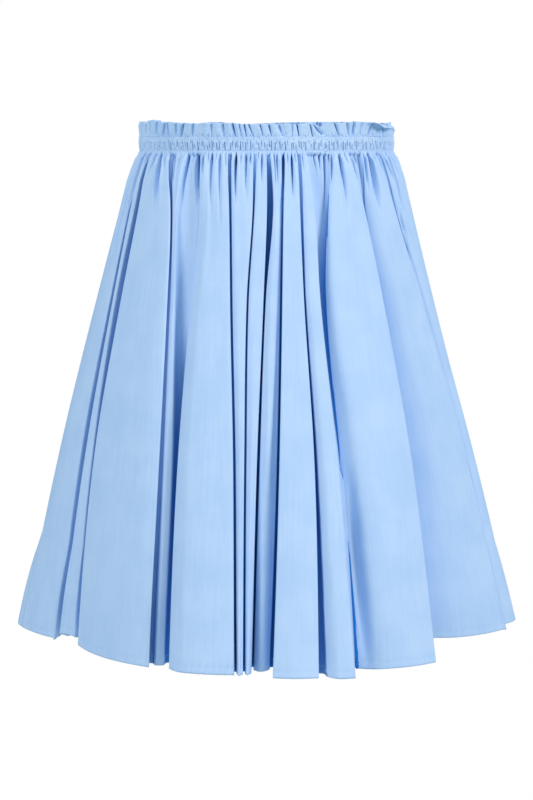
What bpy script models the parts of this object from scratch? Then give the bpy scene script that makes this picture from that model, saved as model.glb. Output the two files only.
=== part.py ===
"""Knee-length circle skirt in pale blue cotton poplin, standing open as it does when it is worn.

Two flared panels, front and back, meet at the side seams. They are gathered into an elastic
channel, with a ruffle above it, and end in a narrow turned-up hem. The origin is the middle of
the waist: +Z is up, the front faces -Y and +X is the viewer's right. All sizes are in metres.
"""

import math
from collections import namedtuple

import bmesh
import bpy
from mathutils import Vector

# Heights, measured from the middle of the channel
CHANNEL_HEIGHT = 0.015
RUFFLE_HEIGHT = 0.016
SKIRT_LENGTH = 0.527
HEM_TURN = 0.009

# Walls and gaps
PANEL_WALL = 0.0010
CHANNEL_WALL = 0.0026
RUFFLE_WALL = 0.0012
HEM_WALL = 0.0010
GAP = 0.0003

# Half width and half depth of the skirt's outline at each height below the channel
Outline = namedtuple("Outline", "drop half_width half_depth")
OUTLINES = (
    Outline(0.000, 0.1390, 0.1000),
    Outline(0.010, 0.1440, 0.1050),
    Outline(0.032, 0.1530, 0.1150),
    Outline(0.055, 0.1590, 0.1240),
    Outline(SKIRT_LENGTH, 0.2800, 0.2680),
)

# Heights below the channel at which the tables of folds give their five values
STATIONS = (0.000, 0.059, 0.152, 0.312, SKIRT_LENGTH)
# How much of a fold's hem depth it has taken up at each station
SETTLED = (0.00, 0.12, 0.35, 0.70, 1.00)
# How much of its hem tuck a fold has at each station
TUCKED = (0.10, 0.35, 0.55, 0.80, 1.00)

# Front folds from the viewer's left to right. left and right are the fold's two edges at the
# stations, as shares of the half width. hem_depth is how far forward each edge stands at the
# hem, as shares of the half depth. crown is the outward swell between the edges. tuck is how
# far, in mm, the cloth runs back under each edge. rise is how far, in mm, the hem lifts at each
# edge. valley is the depth, in mm, of the groove that follows the fold. gathers is the number
# of short gathers under the channel.
Fold = namedtuple("Fold", "name left right hem_depth crown tuck rise valley gathers")
FRONT_FOLDS = (
    Fold("far_left", None, (-0.94, -0.935, -0.916, -0.885, -0.805), (None, 0.33), 0.05, (5, 1),
         (0, 0), (3, 5, 7, 9, 9), 3),
    Fold("left_narrow", (-0.92, -0.922, -0.904, -0.874, -0.794),
         (-0.90, -0.888, -0.877, -0.824, -0.730), (0.37, 0.44), 0.00, (0, 0), (9, 9),
         (3, 9, 10, 6, 7), 0),
    Fold("left_broad", (-0.88, -0.86, -0.846, -0.812, -0.718),
         (-0.74, -0.638, -0.568, -0.496, -0.432), (0.52, 0.84), 0.02, (7, 8), (5, 0),
         (4, 8, 5, 4, 8), 2),
    Fold("left_strip", (-0.70, -0.626, -0.556, -0.485, -0.421),
         (-0.60, -0.595, -0.525, -0.437, -0.379), (0.80, 0.80), 0.01, (0, 1), (0, 0),
         (3, 6, 12, 18, 13), 1),
    Fold("left_centre", (-0.49, -0.452, -0.441, -0.417, -0.367),
         (-0.29, -0.246, -0.207, -0.154, -0.1165), (0.90, 0.97), 0.01, (4, 6), (0, 0),
         (4, 9, 10, 10, 13), 4),
    Fold("mid_strip", (-0.26, -0.231, -0.196, -0.144, -0.1095),
         (-0.10, -0.092, -0.113, -0.103, -0.0860), (0.96, 0.96), 0.01, (0, 0), (0, 0),
         (3, 8, 10, 8, 11), 2),
    Fold("mid_left", (-0.07, -0.078, -0.102, -0.093, -0.0790),
         (0.00, 0.002, -0.018, -0.044, -0.0555), (0.95, 0.94), 0.01, (0, 0), (0, 0),
         (4, 18, 13, 9, 11), 1),
    Fold("mid_right", (0.03, 0.045, -0.003, -0.030, -0.0480), (0.11, 0.098, 0.076, 0.048, 0.011),
         (0.87, 0.87), 0.01, (1, 0), (0, 0), (4, 7, 7, 7, 10), 1),
    Fold("right_centre", (0.14, 0.113, 0.090, 0.060, 0.0225), (0.23, 0.220, 0.212, 0.218, 0.189),
         (1.02, 1.02), 0.01, (4, 6), (0, 0), (4, 7, 13, 18, 22), 1),
    Fold("right_strip", (0.26, 0.242, 0.226, 0.234, 0.222), (0.30, 0.320, 0.306, 0.326, 0.322),
         (1.03, 1.02), 0.01, (0, 2), (0, 0), (3, 12, 18, 7, 9), 0),
    Fold("right_broad", (0.48, 0.410, 0.343, 0.338, 0.334), (0.62, 0.650, 0.670, 0.672, 0.630),
         (0.88, 0.75), 0.02, (5, 9), (0, 0), (3, 6, 9, 11, 12), 3),
    Fold("right_flat", (0.72, 0.665, 0.686, 0.688, 0.645), (0.83, 0.860, 0.906, 0.952, 0.940),
         (0.33, 0.14), 0.02, (2, 6), (0, 0), (3, 5, 4, 4, 6), 1),
    Fold("far_right", (0.87, 0.880, 0.925, 0.970, 0.957), None, (0.04, None), 0.04, (1, 5),
         (0, 0), (3, 9, 13, 16, 20), 3),
)

# Back folds, going on round from the viewer's right side seam. starts and ends are the fold's
# edges in degrees from the middle of the front, at the channel and at the hem.
BackFold = namedtuple("BackFold", "name starts ends reach crown tuck rise valley gathers")
BACK_FOLDS = (
    BackFold("right_rear", (108, 109), (124, 118), 0.95, 0.03, (2, -3), (2, 4), (3, 10, 16, 22, 26), 2),
    BackFold("right_shoulder", (127, 124), (139, 133), 0.96, 0.02, (3, 4), (4, 2), (4, 13, 20, 28, 33), 1),
    BackFold("right_slim", (141, 136), (150, 143), 0.98, 0.02, (-3, 0), (2, 0), (3, 9, 14, 18, 24), 1),
    BackFold("right_full", (152, 145), (166, 164), 1.01, 0.04, (5, 6), (0, 0), (4, 16, 24, 32, 38), 2),
    BackFold("centre_right", (168, 167), (178, 175), 0.98, 0.02, (0, -2), (0, 0), (3, 12, 18, 22, 28), 1),
    BackFold("centre_left", (181, 180), (192, 195), 1.01, 0.04, (-2, 6), (0, 0), (4, 14, 22, 30, 36), 2),
    BackFold("left_slim", (194, 197), (203, 204), 0.98, 0.02, (0, 2), (0, 0), (3, 10, 16, 20, 26), 1),
    BackFold("left_full", (205, 207), (219, 225), 1.00, 0.04, (3, 6), (0, 2), (4, 15, 24, 32, 38), 2),
    BackFold("left_shoulder", (221, 228), (233, 239), 0.97, 0.02, (0, -3), (3, 4), (3, 12, 16, 20, 26), 1),
    BackFold("left_rear", (236, 245), (251, 253), 0.95, 0.02, (-3, 2), (4, 2), (3, 10, 14, 20, 24), 2),
)
# Edges of the two side folds where they meet the back, in degrees, at the channel and the hem
SIDE_FOLD_END = (105, 103)
SIDE_FOLD_START = (-106, -103)
SIDE_REACH = 0.96

# Short gathers that spring from the channel: depth, the drop over which that depth is reached,
# and how far down each one runs, in turn
GATHER_DEPTH = 0.0032
GATHER_ONSET = 0.007
GATHER_REACHES = (0.055, 0.035, 0.075, 0.045, 0.095, 0.030, 0.065)
# Distance over which a fold's edge rounds over, in front where edges are crisp and at the back
FRONT_SHOULDER = 0.005
BACK_SHOULDER = 0.014
WIDEST_SHOULDER = 0.25
# How far grooves turn from straight in towards the middle plane
INWARD_SLANT = 0.55
# Least half width of a groove's floor at the channel, and how much wider it is at the hem
FLOOR_HALF_WIDTH = 0.0016
FLOOR_GROWTH = 0.0016
# How far a groove's side has come over, half way down, from its edge to its floor
SIDE_BULGE = 0.7
# Where two neighbouring edges stand further apart in depth than SMALL_STEP, the outer one's side
# slants across towards the other, the most from LARGE_STEP on
SMALL_STEP = 0.025
LARGE_STEP = 0.090
STEP_SLANT = 0.8
MILLIMETRE = 0.001

# Rows of the panels, closest under the channel where the gathers are finest
HEM_DROPS = (SKIRT_LENGTH - HEM_TURN, SKIRT_LENGTH)
PANEL_DROPS = (0.000, 0.016, 0.040, 0.078, 0.130, 0.205, 0.305, 0.412, *HEM_DROPS)

# Channel and ruffle, each made in a front and a back half
CHANNEL_GATHERS = 60
CHANNEL_SWELL = 0.0007
RUFFLE_WAVES = 23
RUFFLE_STEPS = 4
RUFFLE_SWING = 0.0034
RUFFLE_LEAN = 0.0015
# Share of its full swing that a wave already has where it leaves the channel
RUFFLE_FOOT = 0.15
# Widths and swings of the ruffle's waves, in turn
RUFFLE_WIDTHS = (1.0, 0.7, 1.3, 0.8, 1.1, 1.5, 0.7, 1.2, 0.9)
RUFFLE_SWINGS = (1.0, 0.6, 0.9, 0.5, 1.0, 0.8, 0.55)

POPLIN_BLUE = (0.37, 0.60, 0.90)
CHANNEL_BLUE = (0.34, 0.56, 0.87)
POPLIN_ROUGHNESS = 0.85


def value_at(drop, stations, values):
    """The value at this drop, on a smooth curve through the stations' values."""
    last = len(stations) - 1
    i = 0
    while i < last - 1 and drop > stations[i + 1]:
        i += 1
    span = stations[i + 1] - stations[i]
    u = min(max((drop - stations[i]) / span, 0.0), 1.0)
    slopes = []
    for k in (i, i + 1):
        before, after = max(k - 1, 0), min(k + 1, last)
        slopes.append((values[after] - values[before]) / (stations[after] - stations[before]))
    rise = values[i + 1] - values[i]
    return (
        values[i]
        + span * slopes[0] * u * (1 - u) ** 2
        + rise * u * u * (3 - 2 * u)
        - span * slopes[1] * u * u * (1 - u)
    )


def line_at(drop, stations, values):
    """The value at this drop, on straight lines between the stations' values."""
    for i in range(len(stations) - 1):
        if drop <= stations[i + 1]:
            u = (drop - stations[i]) / (stations[i + 1] - stations[i])
            return values[i] + (values[i + 1] - values[i]) * u
    return values[-1]


def outline_at(drop):
    drops = [row.drop for row in OUTLINES]
    width = line_at(drop, drops, [row.half_width for row in OUTLINES])
    depth = line_at(drop, drops, [row.half_depth for row in OUTLINES])
    return width, depth


def front_edge(shares, hem_depth, drop):
    """(degrees, reach) of a front fold's edge: where it lies round the outline."""
    across = value_at(drop, STATIONS, shares)
    settled = value_at(drop, STATIONS, SETTLED)
    forward = math.sqrt(max(0.0, 1 - across * across)) * (1 - settled) + hem_depth * settled
    return math.degrees(math.atan2(across, forward)), math.hypot(across, forward)


def back_edge(ends, reach, drop):
    share = drop / SKIRT_LENGTH
    return ends[0] + (ends[1] - ends[0]) * share, 1 + (reach - 1) * share


def folds_at(drop):
    """Every fold round the skirt at this drop, from the viewer's left side seam."""
    found = []
    for fold in FRONT_FOLDS:
        if fold.left is None:
            left = back_edge(SIDE_FOLD_START, SIDE_REACH, drop)
        else:
            left = front_edge(fold.left, fold.hem_depth[0], drop)
        if fold.right is None:
            right = back_edge(SIDE_FOLD_END, SIDE_REACH, drop)
        else:
            right = front_edge(fold.right, fold.hem_depth[1], drop)
        found.append((fold, left, right))
    for fold in BACK_FOLDS:
        left = back_edge(fold.starts, fold.reach, drop)
        right = back_edge(fold.ends, fold.reach, drop)
        found.append((fold, left, right))
    return found


def on_outline(degrees, reach, drop):
    width, depth = outline_at(drop)
    angle = math.radians(degrees)
    return Vector((width * reach * math.sin(angle), -depth * reach * math.cos(angle), 0.0))


def inward_at(point, drop):
    """Unit vector from the outline towards the inside, turned a little towards the middle plane."""
    width, depth = outline_at(drop)
    return Vector((-INWARD_SLANT * point.x / width**2, -point.y / depth**2, 0.0)).normalized()


def gather_pinch(order, drop):
    """How far a short gather is drawn in at this drop."""
    reach = GATHER_REACHES[order % len(GATHER_REACHES)]
    if drop >= reach:
        return 0.0
    onset = min(1.0, (drop + GATHER_ONSET) / (2 * GATHER_ONSET))
    return GATHER_DEPTH * onset * (1 - drop / reach)


def fold_points(fold, left, right, drop, order):
    """Control points across one fold's face, from edge to edge."""
    start = on_outline(left[0], left[1], drop)
    end = on_outline(right[0], right[1], drop)
    width = (end - start).length
    rounding = BACK_SHOULDER if isinstance(fold, BackFold) else FRONT_SHOULDER
    shoulder = min(WIDEST_SHOULDER, rounding / width)
    mids = 2 * fold.gathers + 1
    shares = [0.0, shoulder]
    shares += [shoulder + (1 - 2 * shoulder) * (k + 1) / (mids + 1) for k in range(mids)]
    shares += [1 - shoulder, 1.0]
    settled = value_at(drop, STATIONS, SETTLED)
    lift = MILLIMETRE * (drop / SKIRT_LENGTH) ** 3
    points = []
    for k, share in enumerate(shares):
        degrees = left[0] + (right[0] - left[0]) * share
        reach = left[1] + (right[1] - left[1]) * share
        reach += fold.crown * settled * 4 * share * (1 - share)
        point = on_outline(degrees, reach, drop)
        is_gather = fold.gathers and 2 < k < len(shares) - 3 and k % 2 == 1
        if is_gather:
            point += inward_at(point, drop) * gather_pinch(order + k, drop)
        point.z = lift * (fold.rise[0] + (fold.rise[1] - fold.rise[0]) * share)
        points.append(point)
    return points


def valley_points(fold, after, start, end, drop):
    """Control points down one groove and up again, between two folds' edges."""
    depth = MILLIMETRE * value_at(drop, STATIONS, fold.valley)
    tucked = MILLIMETRE * value_at(drop, STATIONS, TUCKED)
    inward = inward_at((start + end) / 2, drop)
    along = Vector((inward.y, -inward.x, 0.0))
    lift = (start.z + end.z) / 2
    floor = max(start.dot(inward), end.dot(inward)) + depth
    left_reach = start.dot(along) - fold.tuck[1] * tucked
    right_reach = end.dot(along) + after.tuck[0] * tucked
    half_floor = FLOOR_HALF_WIDTH + FLOOR_GROWTH * drop / SKIRT_LENGTH
    middle = (left_reach + right_reach) / 2
    left_floor = min(left_reach, middle - half_floor)
    right_floor = max(right_reach, middle + half_floor)
    step = end.dot(inward) - start.dot(inward)
    slant = STEP_SLANT * min(max((abs(step) - SMALL_STEP) / (LARGE_STEP - SMALL_STEP), 0.0), 1.0)
    if step > 0:
        left_floor += (middle - half_floor - left_floor) * slant
    else:
        right_floor += (middle + half_floor - right_floor) * slant

    def place(sideways, inwards):
        return along * sideways + inward * inwards + Vector((0.0, 0.0, lift))

    left_side = start.dot(along) + (left_floor - start.dot(along)) * SIDE_BULGE
    right_side = end.dot(along) + (right_floor - end.dot(along)) * SIDE_BULGE
    return [
        place(left_side, (start.dot(inward) + floor) / 2),
        place(left_floor, floor),
        place(right_floor, floor),
        place(right_side, (end.dot(inward) + floor) / 2),
    ]


def control_ring(drop):
    """The closed ring of control points at this drop, and the places of the two side seams."""
    folds = folds_at(drop)
    ring = []
    seams = []
    faces = [fold_points(*entry, drop, 3 * i) for i, entry in enumerate(folds)]
    for i, face in enumerate(faces):
        fold = folds[i][0]
        if fold.name in ("far_left", "far_right"):
            seams.append(len(ring) + len(face) // 2)
        ring += face
        following = (i + 1) % len(folds)
        ring += valley_points(fold, folds[following][0], face[-1], faces[following][0], drop)
    return ring, seams


def smooth_ring(ring):
    """The cubic B-spline of a closed ring of control points, read once at each of them."""
    count = len(ring)
    return [(ring[i - 1] + 4 * ring[i] + ring[(i + 1) % count]) / 6 for i in range(count)]


def panel_rows(drops, side):
    """Rows of points of the front or back panel, one for each drop, from seam to seam."""
    rows = []
    top = -CHANNEL_HEIGHT / 2 - GAP
    half_gap = GAP / 2
    for drop in drops:
        controls, (left_seam, right_seam) = control_ring(drop)
        ring = smooth_ring(controls)
        if side == "front":
            row = ring[left_seam : right_seam + 1]
        else:
            row = ring[right_seam:] + ring[: left_seam + 1]
        row[0] = row[0] + (row[1] - row[0]).normalized() * half_gap
        row[-1] = row[-1] + (row[-2] - row[-1]).normalized() * half_gap
        rows.append([Vector((p.x, p.y, top - drop + p.z)) for p in row])
    return rows


def uneven_steps(count, widths):
    """Shares from 0 to 1 at the ends of count steps, whose widths repeat in turn."""
    sizes = [widths[i % len(widths)] for i in range(count)]
    total = sum(sizes)
    shares = [0.0]
    for size in sizes:
        shares.append(shares[-1] + size / total)
    return shares


def seam_fade(column, columns):
    """0 at the two columns next to each side seam, so that the halves end square, and 1 beyond."""
    from_end = min(column, columns - column)
    return min(1.0, max(0, from_end - 1) / 2)


def half_ring_span(side):
    """Start and end of the front or back half, in degrees, short of the side seams by half a gap."""
    half_gap = math.degrees(GAP / 2 / OUTLINES[0].half_depth)
    start = -90 if side == "front" else 90
    return start + half_gap, start + 180 - half_gap


def channel_rows(side):
    """The elastic channel: a gathered tube with an even run of upright gathers."""
    start, end = half_ring_span(side)
    columns = 2 * CHANNEL_GATHERS
    rows = []
    for height in (-CHANNEL_HEIGHT / 2, CHANNEL_HEIGHT / 2):
        row = []
        for i in range(columns + 1):
            degrees = start + (end - start) * i / columns
            swell = (CHANNEL_SWELL if i % 2 else -CHANNEL_SWELL) * seam_fade(i, columns)
            point = on_outline(degrees, 1.0, 0.0)
            point -= inward_at(point, 0.0) * swell
            row.append(Vector((point.x, point.y, height)))
        rows.append(row)
    return rows[::-1]


def ruffle_rows(side):
    """The ruffle above the channel: waves that grow towards the free edge and lean outwards."""
    start, end = half_ring_span(side)
    ends = uneven_steps(RUFFLE_WAVES, RUFFLE_WIDTHS)
    columns = RUFFLE_WAVES * RUFFLE_STEPS
    rows = []
    for share in (1.0, 0.5, 0.0):
        height = CHANNEL_HEIGHT / 2 + GAP + RUFFLE_HEIGHT * share
        row = []
        for i in range(columns + 1):
            wave = min(i // RUFFLE_STEPS, RUFFLE_WAVES - 1)
            turn = (i - wave * RUFFLE_STEPS) / RUFFLE_STEPS
            place = ends[wave] + (ends[wave + 1] - ends[wave]) * turn
            swing = RUFFLE_SWING * RUFFLE_SWINGS[wave % len(RUFFLE_SWINGS)] * seam_fade(i, columns)
            swing *= RUFFLE_FOOT + (1 - RUFFLE_FOOT) * share
            point = on_outline(start + (end - start) * place, 1.0, 0.0)
            outward = -inward_at(point, 0.0)
            point += outward * (swing * math.sin(math.tau * turn) + RUFFLE_LEAN * share)
            row.append(Vector((point.x, point.y, height)))
        rows.append(row)
    return rows


def cloth_material(name, colour):
    material = bpy.data.materials.new(name)
    material.use_nodes = True
    shader = material.node_tree.nodes["Principled BSDF"]
    shader.inputs["Base Color"].default_value = (*colour, 1.0)
    shader.inputs["Roughness"].default_value = POPLIN_ROUGHNESS
    shader.inputs["Metallic"].default_value = 0.0
    material.diffuse_color = (*colour, 1.0)
    return material


def cloth_wall(name, rows, thickness, material, collection, inset=0.0):
    """A cloth wall: a grid laid through the rows, top row first, thickened to both sides.

    With an inset the wall's middle lies that far inside the rows.
    """
    columns = len(rows[0]) - 1
    bands = len(rows) - 1
    bm = bmesh.new()
    bmesh.ops.create_grid(bm, x_segments=columns, y_segments=bands, size=1.0)
    for vertex in bm.verts:
        column = round((vertex.co.x + 1) / 2 * columns)
        band = round((1 - vertex.co.y) / 2 * bands)
        vertex.co = rows[band][column]
    mesh = bpy.data.meshes.new(name)
    bm.to_mesh(mesh)
    bm.free()
    mesh.shade_smooth()
    wall = bpy.data.objects.new(name, mesh)
    collection.objects.link(wall)
    mesh.materials.append(material)
    solidify = wall.modifiers.new("cloth", "SOLIDIFY")
    solidify.thickness = thickness
    solidify.offset = -2 * inset / thickness
    solidify.use_even_offset = True
    solidify.use_quality_normals = True
    return wall


def clear_scene():
    for thing in list(bpy.data.objects):
        bpy.data.objects.remove(thing, do_unlink=True)


def main():
    clear_scene()
    collection = bpy.data.collections.new("circle_skirt")
    bpy.context.scene.collection.children.link(collection)
    poplin = cloth_material("cotton_poplin", POPLIN_BLUE)
    gathered = cloth_material("gathered_poplin", CHANNEL_BLUE)
    hem_inset = (PANEL_WALL + HEM_WALL) / 2 + GAP
    for side in ("front", "back"):
        cloth_wall(f"skirt_{side}", panel_rows(PANEL_DROPS, side), PANEL_WALL, poplin, collection)
        turn = panel_rows(HEM_DROPS, side)
        cloth_wall(f"hem_turn_{side}", turn, HEM_WALL, poplin, collection, hem_inset)
        cloth_wall(f"channel_{side}", channel_rows(side), CHANNEL_WALL, gathered, collection)
        cloth_wall(f"ruffle_{side}", ruffle_rows(side), RUFFLE_WALL, gathered, collection)


main()
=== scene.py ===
import math
from bisect import bisect_right
from collections import namedtuple

import bmesh
import bpy
import numpy as np
from mathutils import Matrix, Vector


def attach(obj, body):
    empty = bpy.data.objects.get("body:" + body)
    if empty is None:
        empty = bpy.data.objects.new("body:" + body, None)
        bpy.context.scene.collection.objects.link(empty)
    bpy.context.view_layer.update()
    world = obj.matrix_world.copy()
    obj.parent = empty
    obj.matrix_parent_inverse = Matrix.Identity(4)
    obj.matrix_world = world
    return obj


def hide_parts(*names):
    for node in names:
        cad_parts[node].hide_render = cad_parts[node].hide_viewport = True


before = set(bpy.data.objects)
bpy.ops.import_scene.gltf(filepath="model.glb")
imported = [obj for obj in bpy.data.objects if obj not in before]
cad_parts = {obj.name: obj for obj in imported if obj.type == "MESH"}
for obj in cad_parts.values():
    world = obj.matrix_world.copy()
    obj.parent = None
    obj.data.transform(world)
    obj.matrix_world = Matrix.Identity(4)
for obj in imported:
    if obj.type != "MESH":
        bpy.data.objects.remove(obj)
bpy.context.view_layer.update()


# The two skirt panels. Each is a flared piece of crisp cotton poplin, cut as a sector, gathered
# along its upper edge and sewn to the other at the sides. They hang in deep folds from the
# channel, and the folds are given by where their edges lie at five heights.

CHANNEL_HEIGHT = 0.015
RUFFLE_HEIGHT = 0.016
SKIRT_LENGTH = 0.527
HEM_TURN = 0.009
GAP = 0.0003

MM = 0.001

# Half width and half depth of the skirt's outline at each height below the channel
Outline = namedtuple("Outline", "drop half_width half_depth")
OUTLINES = (
    Outline(0.000, 0.1390, 0.1000),
    Outline(0.010, 0.1440, 0.1050),
    Outline(0.032, 0.1530, 0.1150),
    Outline(0.055, 0.1590, 0.1240),
    Outline(SKIRT_LENGTH, 0.2800, 0.2680),
)

# Heights below the channel at which the tables of folds give their five values
STATIONS = (0.000, 0.059, 0.152, 0.312, SKIRT_LENGTH)
# How much of a fold's hem depth it has taken up at each station
SETTLED = (0.00, 0.12, 0.35, 0.70, 1.00)
# How much of its hem tuck a fold has at each station
TUCKED = (0.10, 0.35, 0.55, 0.80, 1.00)

# Front folds from the viewer's left to right. left and right are the fold's two edges at the
# stations, as shares of the half width. hem_depth is how far forward each edge stands at the
# hem, as shares of the half depth. crown is the outward swell between the edges. tuck is how
# far, in mm, the cloth runs back under each edge. rise is how far, in mm, the hem lifts at each
# edge. valley is the depth, in mm, of the groove that follows the fold. gathers is the number
# of short gathers under the channel.
Fold = namedtuple("Fold", "name left right hem_depth crown tuck rise valley gathers")
FRONT_FOLDS = [Fold(*row) for row in (
    ("far_left", None, (-0.94, -0.935, -0.916, -0.885, -0.805), (None, 0.33), 0.05, (5, 1), (0, 0),
     (4, 8, 10, 12, 9), 3),
    ("left_narrow", (-0.92, -0.922, -0.904, -0.874, -0.794),
     (-0.90, -0.888, -0.877, -0.824, -0.730), (0.37, 0.44), 0.00, (0, 0), (9, 9),
     (6, 15, 16, 13, 9), 0),
    ("left_broad", (-0.88, -0.86, -0.846, -0.812, -0.718), (-0.74, -0.638, -0.568, -0.496, -0.432),
     (0.52, 0.84), 0.02, (7, 8), (5, 0), (4, 8, 5, 4, 8), 2),
    ("left_strip", (-0.70, -0.626, -0.556, -0.485, -0.421), (-0.60, -0.595, -0.525, -0.437, -0.379),
     (0.80, 0.80), 0.01, (0, 1), (0, 0), (3, 6, 12, 18, 13), 1),
    ("left_centre", (-0.49, -0.452, -0.441, -0.417, -0.367),
     (-0.29, -0.246, -0.207, -0.154, -0.1165), (0.90, 0.97), 0.01, (4, 6), (0, 0),
     (4, 9, 10, 10, 13), 4),
    ("mid_strip", (-0.26, -0.231, -0.196, -0.144, -0.1095),
     (-0.10, -0.092, -0.113, -0.103, -0.0860), (0.96, 0.96), 0.01, (0, 0), (0, 0),
     (3, 8, 10, 8, 11), 2),
    ("mid_left", (-0.07, -0.078, -0.102, -0.093, -0.0790), (0.00, 0.002, -0.018, -0.044, -0.0555),
     (0.95, 0.94), 0.01, (0, 0), (0, 0), (4, 18, 13, 9, 11), 1),
    ("mid_right", (0.03, 0.045, -0.003, -0.030, -0.0480), (0.11, 0.098, 0.076, 0.048, 0.011),
     (0.87, 0.87), 0.01, (1, 0), (0, 0), (4, 7, 7, 7, 10), 1),
    ("right_centre", (0.14, 0.113, 0.090, 0.060, 0.0225), (0.23, 0.220, 0.212, 0.218, 0.189),
     (1.02, 1.02), 0.01, (4, 6), (0, 0), (4, 7, 13, 18, 22), 1),
    ("right_strip", (0.26, 0.242, 0.226, 0.234, 0.222), (0.30, 0.320, 0.306, 0.326, 0.322),
     (1.03, 1.02), 0.01, (0, 2), (0, 0), (3, 12, 18, 7, 9), 0),
    ("right_broad", (0.48, 0.410, 0.343, 0.338, 0.334), (0.62, 0.650, 0.670, 0.672, 0.630),
     (0.88, 0.75), 0.02, (5, 9), (0, 0), (3, 6, 9, 11, 12), 3),
    ("right_flat", (0.72, 0.665, 0.686, 0.688, 0.645), (0.83, 0.860, 0.906, 0.952, 0.940),
     (0.33, 0.14), 0.02, (2, 1), (0, 0), (3, 5, 4, 4, 6), 1),
    ("far_right", (0.87, 0.880, 0.925, 0.970, 0.957), None, (0.04, None), 0.04, (1, 5), (0, 0),
     (3, 9, 13, 16, 20), 3),
)]

# Back folds, going on round from the viewer's right side seam. starts and ends are the fold's
# edges in degrees from the middle of the front, at the channel and at the hem.
BackFold = namedtuple("BackFold", "name starts ends reach crown tuck rise valley gathers")
BACK_FOLDS = [BackFold(*row) for row in (
    ("right_rear", (108, 109), (124, 118), 0.95, 0.03, (2, -3), (2, 4), (3, 10, 16, 22, 26), 2),
    ("right_shoulder", (127, 124), (139, 133), 0.96, 0.02, (3, 4), (4, 2), (4, 13, 20, 28, 33), 1),
    ("right_slim", (141, 136), (150, 143), 0.98, 0.02, (-3, 0), (2, 0), (3, 9, 14, 18, 24), 1),
    ("right_full", (152, 145), (166, 164), 1.01, 0.04, (5, 6), (0, 0), (4, 16, 24, 32, 38), 2),
    ("centre_right", (168, 167), (178, 175), 0.98, 0.02, (0, -2), (0, 0), (3, 12, 18, 22, 28), 1),
    ("centre_left", (181, 180), (192, 195), 1.01, 0.04, (-2, 6), (0, 0), (4, 14, 22, 30, 36), 2),
    ("left_slim", (194, 197), (203, 204), 0.98, 0.02, (0, 2), (0, 0), (3, 10, 16, 20, 26), 1),
    ("left_full", (205, 207), (219, 225), 1.00, 0.04, (3, 6), (0, 2), (4, 15, 24, 32, 38), 2),
    ("left_shoulder", (221, 228), (233, 239), 0.97, 0.02, (0, -3), (3, 4), (3, 12, 16, 20, 26), 1),
    ("left_rear", (236, 245), (251, 253), 0.95, 0.02, (-3, 2), (4, 2), (3, 10, 14, 20, 24), 2),
)]
# Edges of the two side folds where they meet the back, in degrees, at the channel and the hem
SIDE_EDGES = ((-106, -103), (105, 103))
SIDE_REACH = 0.96

# Short gathers that spring from the channel: depth, the drop over which that depth is reached,
# and how far down each one runs, in turn
GATHER_DEPTH = 0.0032
GATHER_ONSET = 0.007
GATHER_REACHES = (0.055, 0.035, 0.075, 0.045, 0.095, 0.030, 0.065)
# Distance over which a fold's edge rounds over, in front where edges are crisp and at the back
FRONT_SHOULDER = 0.0035
BACK_SHOULDER = 0.014
WIDEST_SHOULDER = 0.25
# How far grooves turn from straight in towards the middle plane
INWARD_SLANT = 0.55
# Least half width of a groove's floor at the channel, and how much wider it is at the hem
FLOOR_HALF_WIDTH = 0.0016
FLOOR_GROWTH = 0.0016
# How far a groove's side has come over, half way down, from its edge to its floor
SIDE_BULGE = 0.7
# Where two neighbouring edges stand further apart in depth than SMALL_STEP, the outer one's side
# slants across towards the other, the most from LARGE_STEP on
SMALL_STEP = 0.025
LARGE_STEP = 0.090
STEP_SLANT = 0.8
# Drop over which the cloth is still held by the stitches
HELD_DROP = 0.005
# Control points in each groove
VALLEY_POINTS = 4


def ease(share):
    """Rises smoothly from 0 to 1 while share does."""
    share = min(max(share, 0.0), 1.0)
    return share * share * (3 - 2 * share)


def between(pair, share):
    """The value at this share of the way from the first of a pair to the second."""
    return pair[0] + (pair[1] - pair[0]) * share


def value_at(drop, stations, values):
    """The value at this drop, on a smooth curve through the stations' values."""
    last = len(stations) - 1
    i = 0
    while i < last - 1 and drop > stations[i + 1]:
        i += 1
    span = stations[i + 1] - stations[i]
    u = min(max((drop - stations[i]) / span, 0.0), 1.0)
    slopes = []
    for k in (i, i + 1):
        before, after = max(k - 1, 0), min(k + 1, last)
        slopes.append((values[after] - values[before]) / (stations[after] - stations[before]))
    curved = span * u * (1 - u) * (slopes[0] * (1 - u) - slopes[1] * u)
    return between(values[i : i + 2], ease(u)) + curved


def line_at(place, stations, values):
    """The value at this place, on straight lines between the stations' values."""
    return float(np.interp(place, stations, values))


def outline_at(drop):
    drops = [row.drop for row in OUTLINES]
    width = line_at(drop, drops, [row.half_width for row in OUTLINES])
    depth = line_at(drop, drops, [row.half_depth for row in OUTLINES])
    return width, depth


def front_edge(shares, hem_depth, drop):
    """(degrees, reach) of a front fold's edge: where it lies round the outline."""
    across = value_at(drop, STATIONS, shares)
    settled = value_at(drop, STATIONS, SETTLED)
    forward = math.sqrt(max(0.0, 1 - across * across)) * (1 - settled) + hem_depth * settled
    return math.degrees(math.atan2(across, forward)), math.hypot(across, forward)


def back_edge(ends, reach, drop):
    share = drop / SKIRT_LENGTH
    return between(ends, share), between((1, reach), share)


def folds_at(drop):
    """Every fold round the skirt at this drop, from the viewer's left side seam."""
    found = []
    for fold in FRONT_FOLDS:
        edges = [back_edge(ends, SIDE_REACH, drop) for ends in SIDE_EDGES]
        for k, shares in enumerate((fold.left, fold.right)):
            if shares is not None:
                edges[k] = front_edge(shares, fold.hem_depth[k], drop)
        found.append((fold, *edges))
    for fold in BACK_FOLDS:
        edges = [back_edge(ends, fold.reach, drop) for ends in (fold.starts, fold.ends)]
        found.append((fold, *edges))
    return found


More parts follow.
